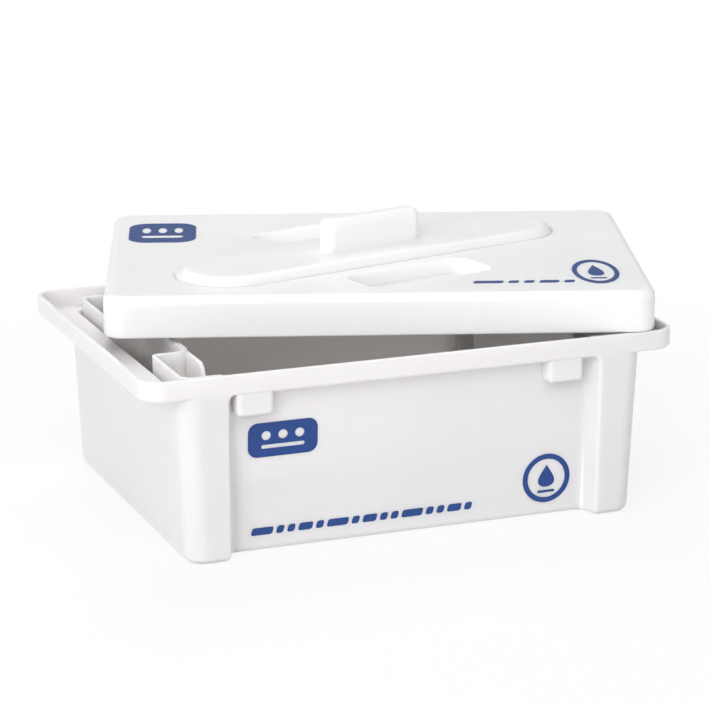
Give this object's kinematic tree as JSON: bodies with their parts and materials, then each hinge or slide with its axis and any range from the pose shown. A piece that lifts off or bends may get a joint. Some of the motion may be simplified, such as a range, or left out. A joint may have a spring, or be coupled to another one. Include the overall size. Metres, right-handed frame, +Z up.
{
  "type": "instrument disinfection tub",
  "caption": "Lidded plastic soaking tub with corner columns, a lift-out sieve insert and a lid with a diagonal grip handle, lying askew on the rim.",
  "frame": {"origin": "middle of the tub's flat underside", "axes": "+X along the tub's long sides, -Y towards the front panel, +Z up"},
  "size_m": [0.3708, 0.299, 0.1557],
  "materials": {
    "tub_plastic": "satin moulded polypropylene",
    "insert_plastic": "satin moulded polypropylene",
    "lid_plastic": "satin moulded polypropylene",
    "handle_plastic": "satin moulded polypropylene"
  },
  "bodies": {
    "tub": {"tub": "tub_plastic"},
    "insert": {"sieve_insert": "insert_plastic"},
    "lid": {"lid": "lid_plastic", "lid_handle": "handle_plastic"}
  },
  "joints": [
    {"name": "insert_lift", "type": "slide", "parent": "tub", "child": "insert", "axis": [0, 0, 1], "range_m": [0, 0.12]},
    {"name": "lid_lift", "type": "slide", "parent": "insert", "child": "lid", "axis": [0, 0, 1], "range_m": [0, 0.15]}
  ]
}
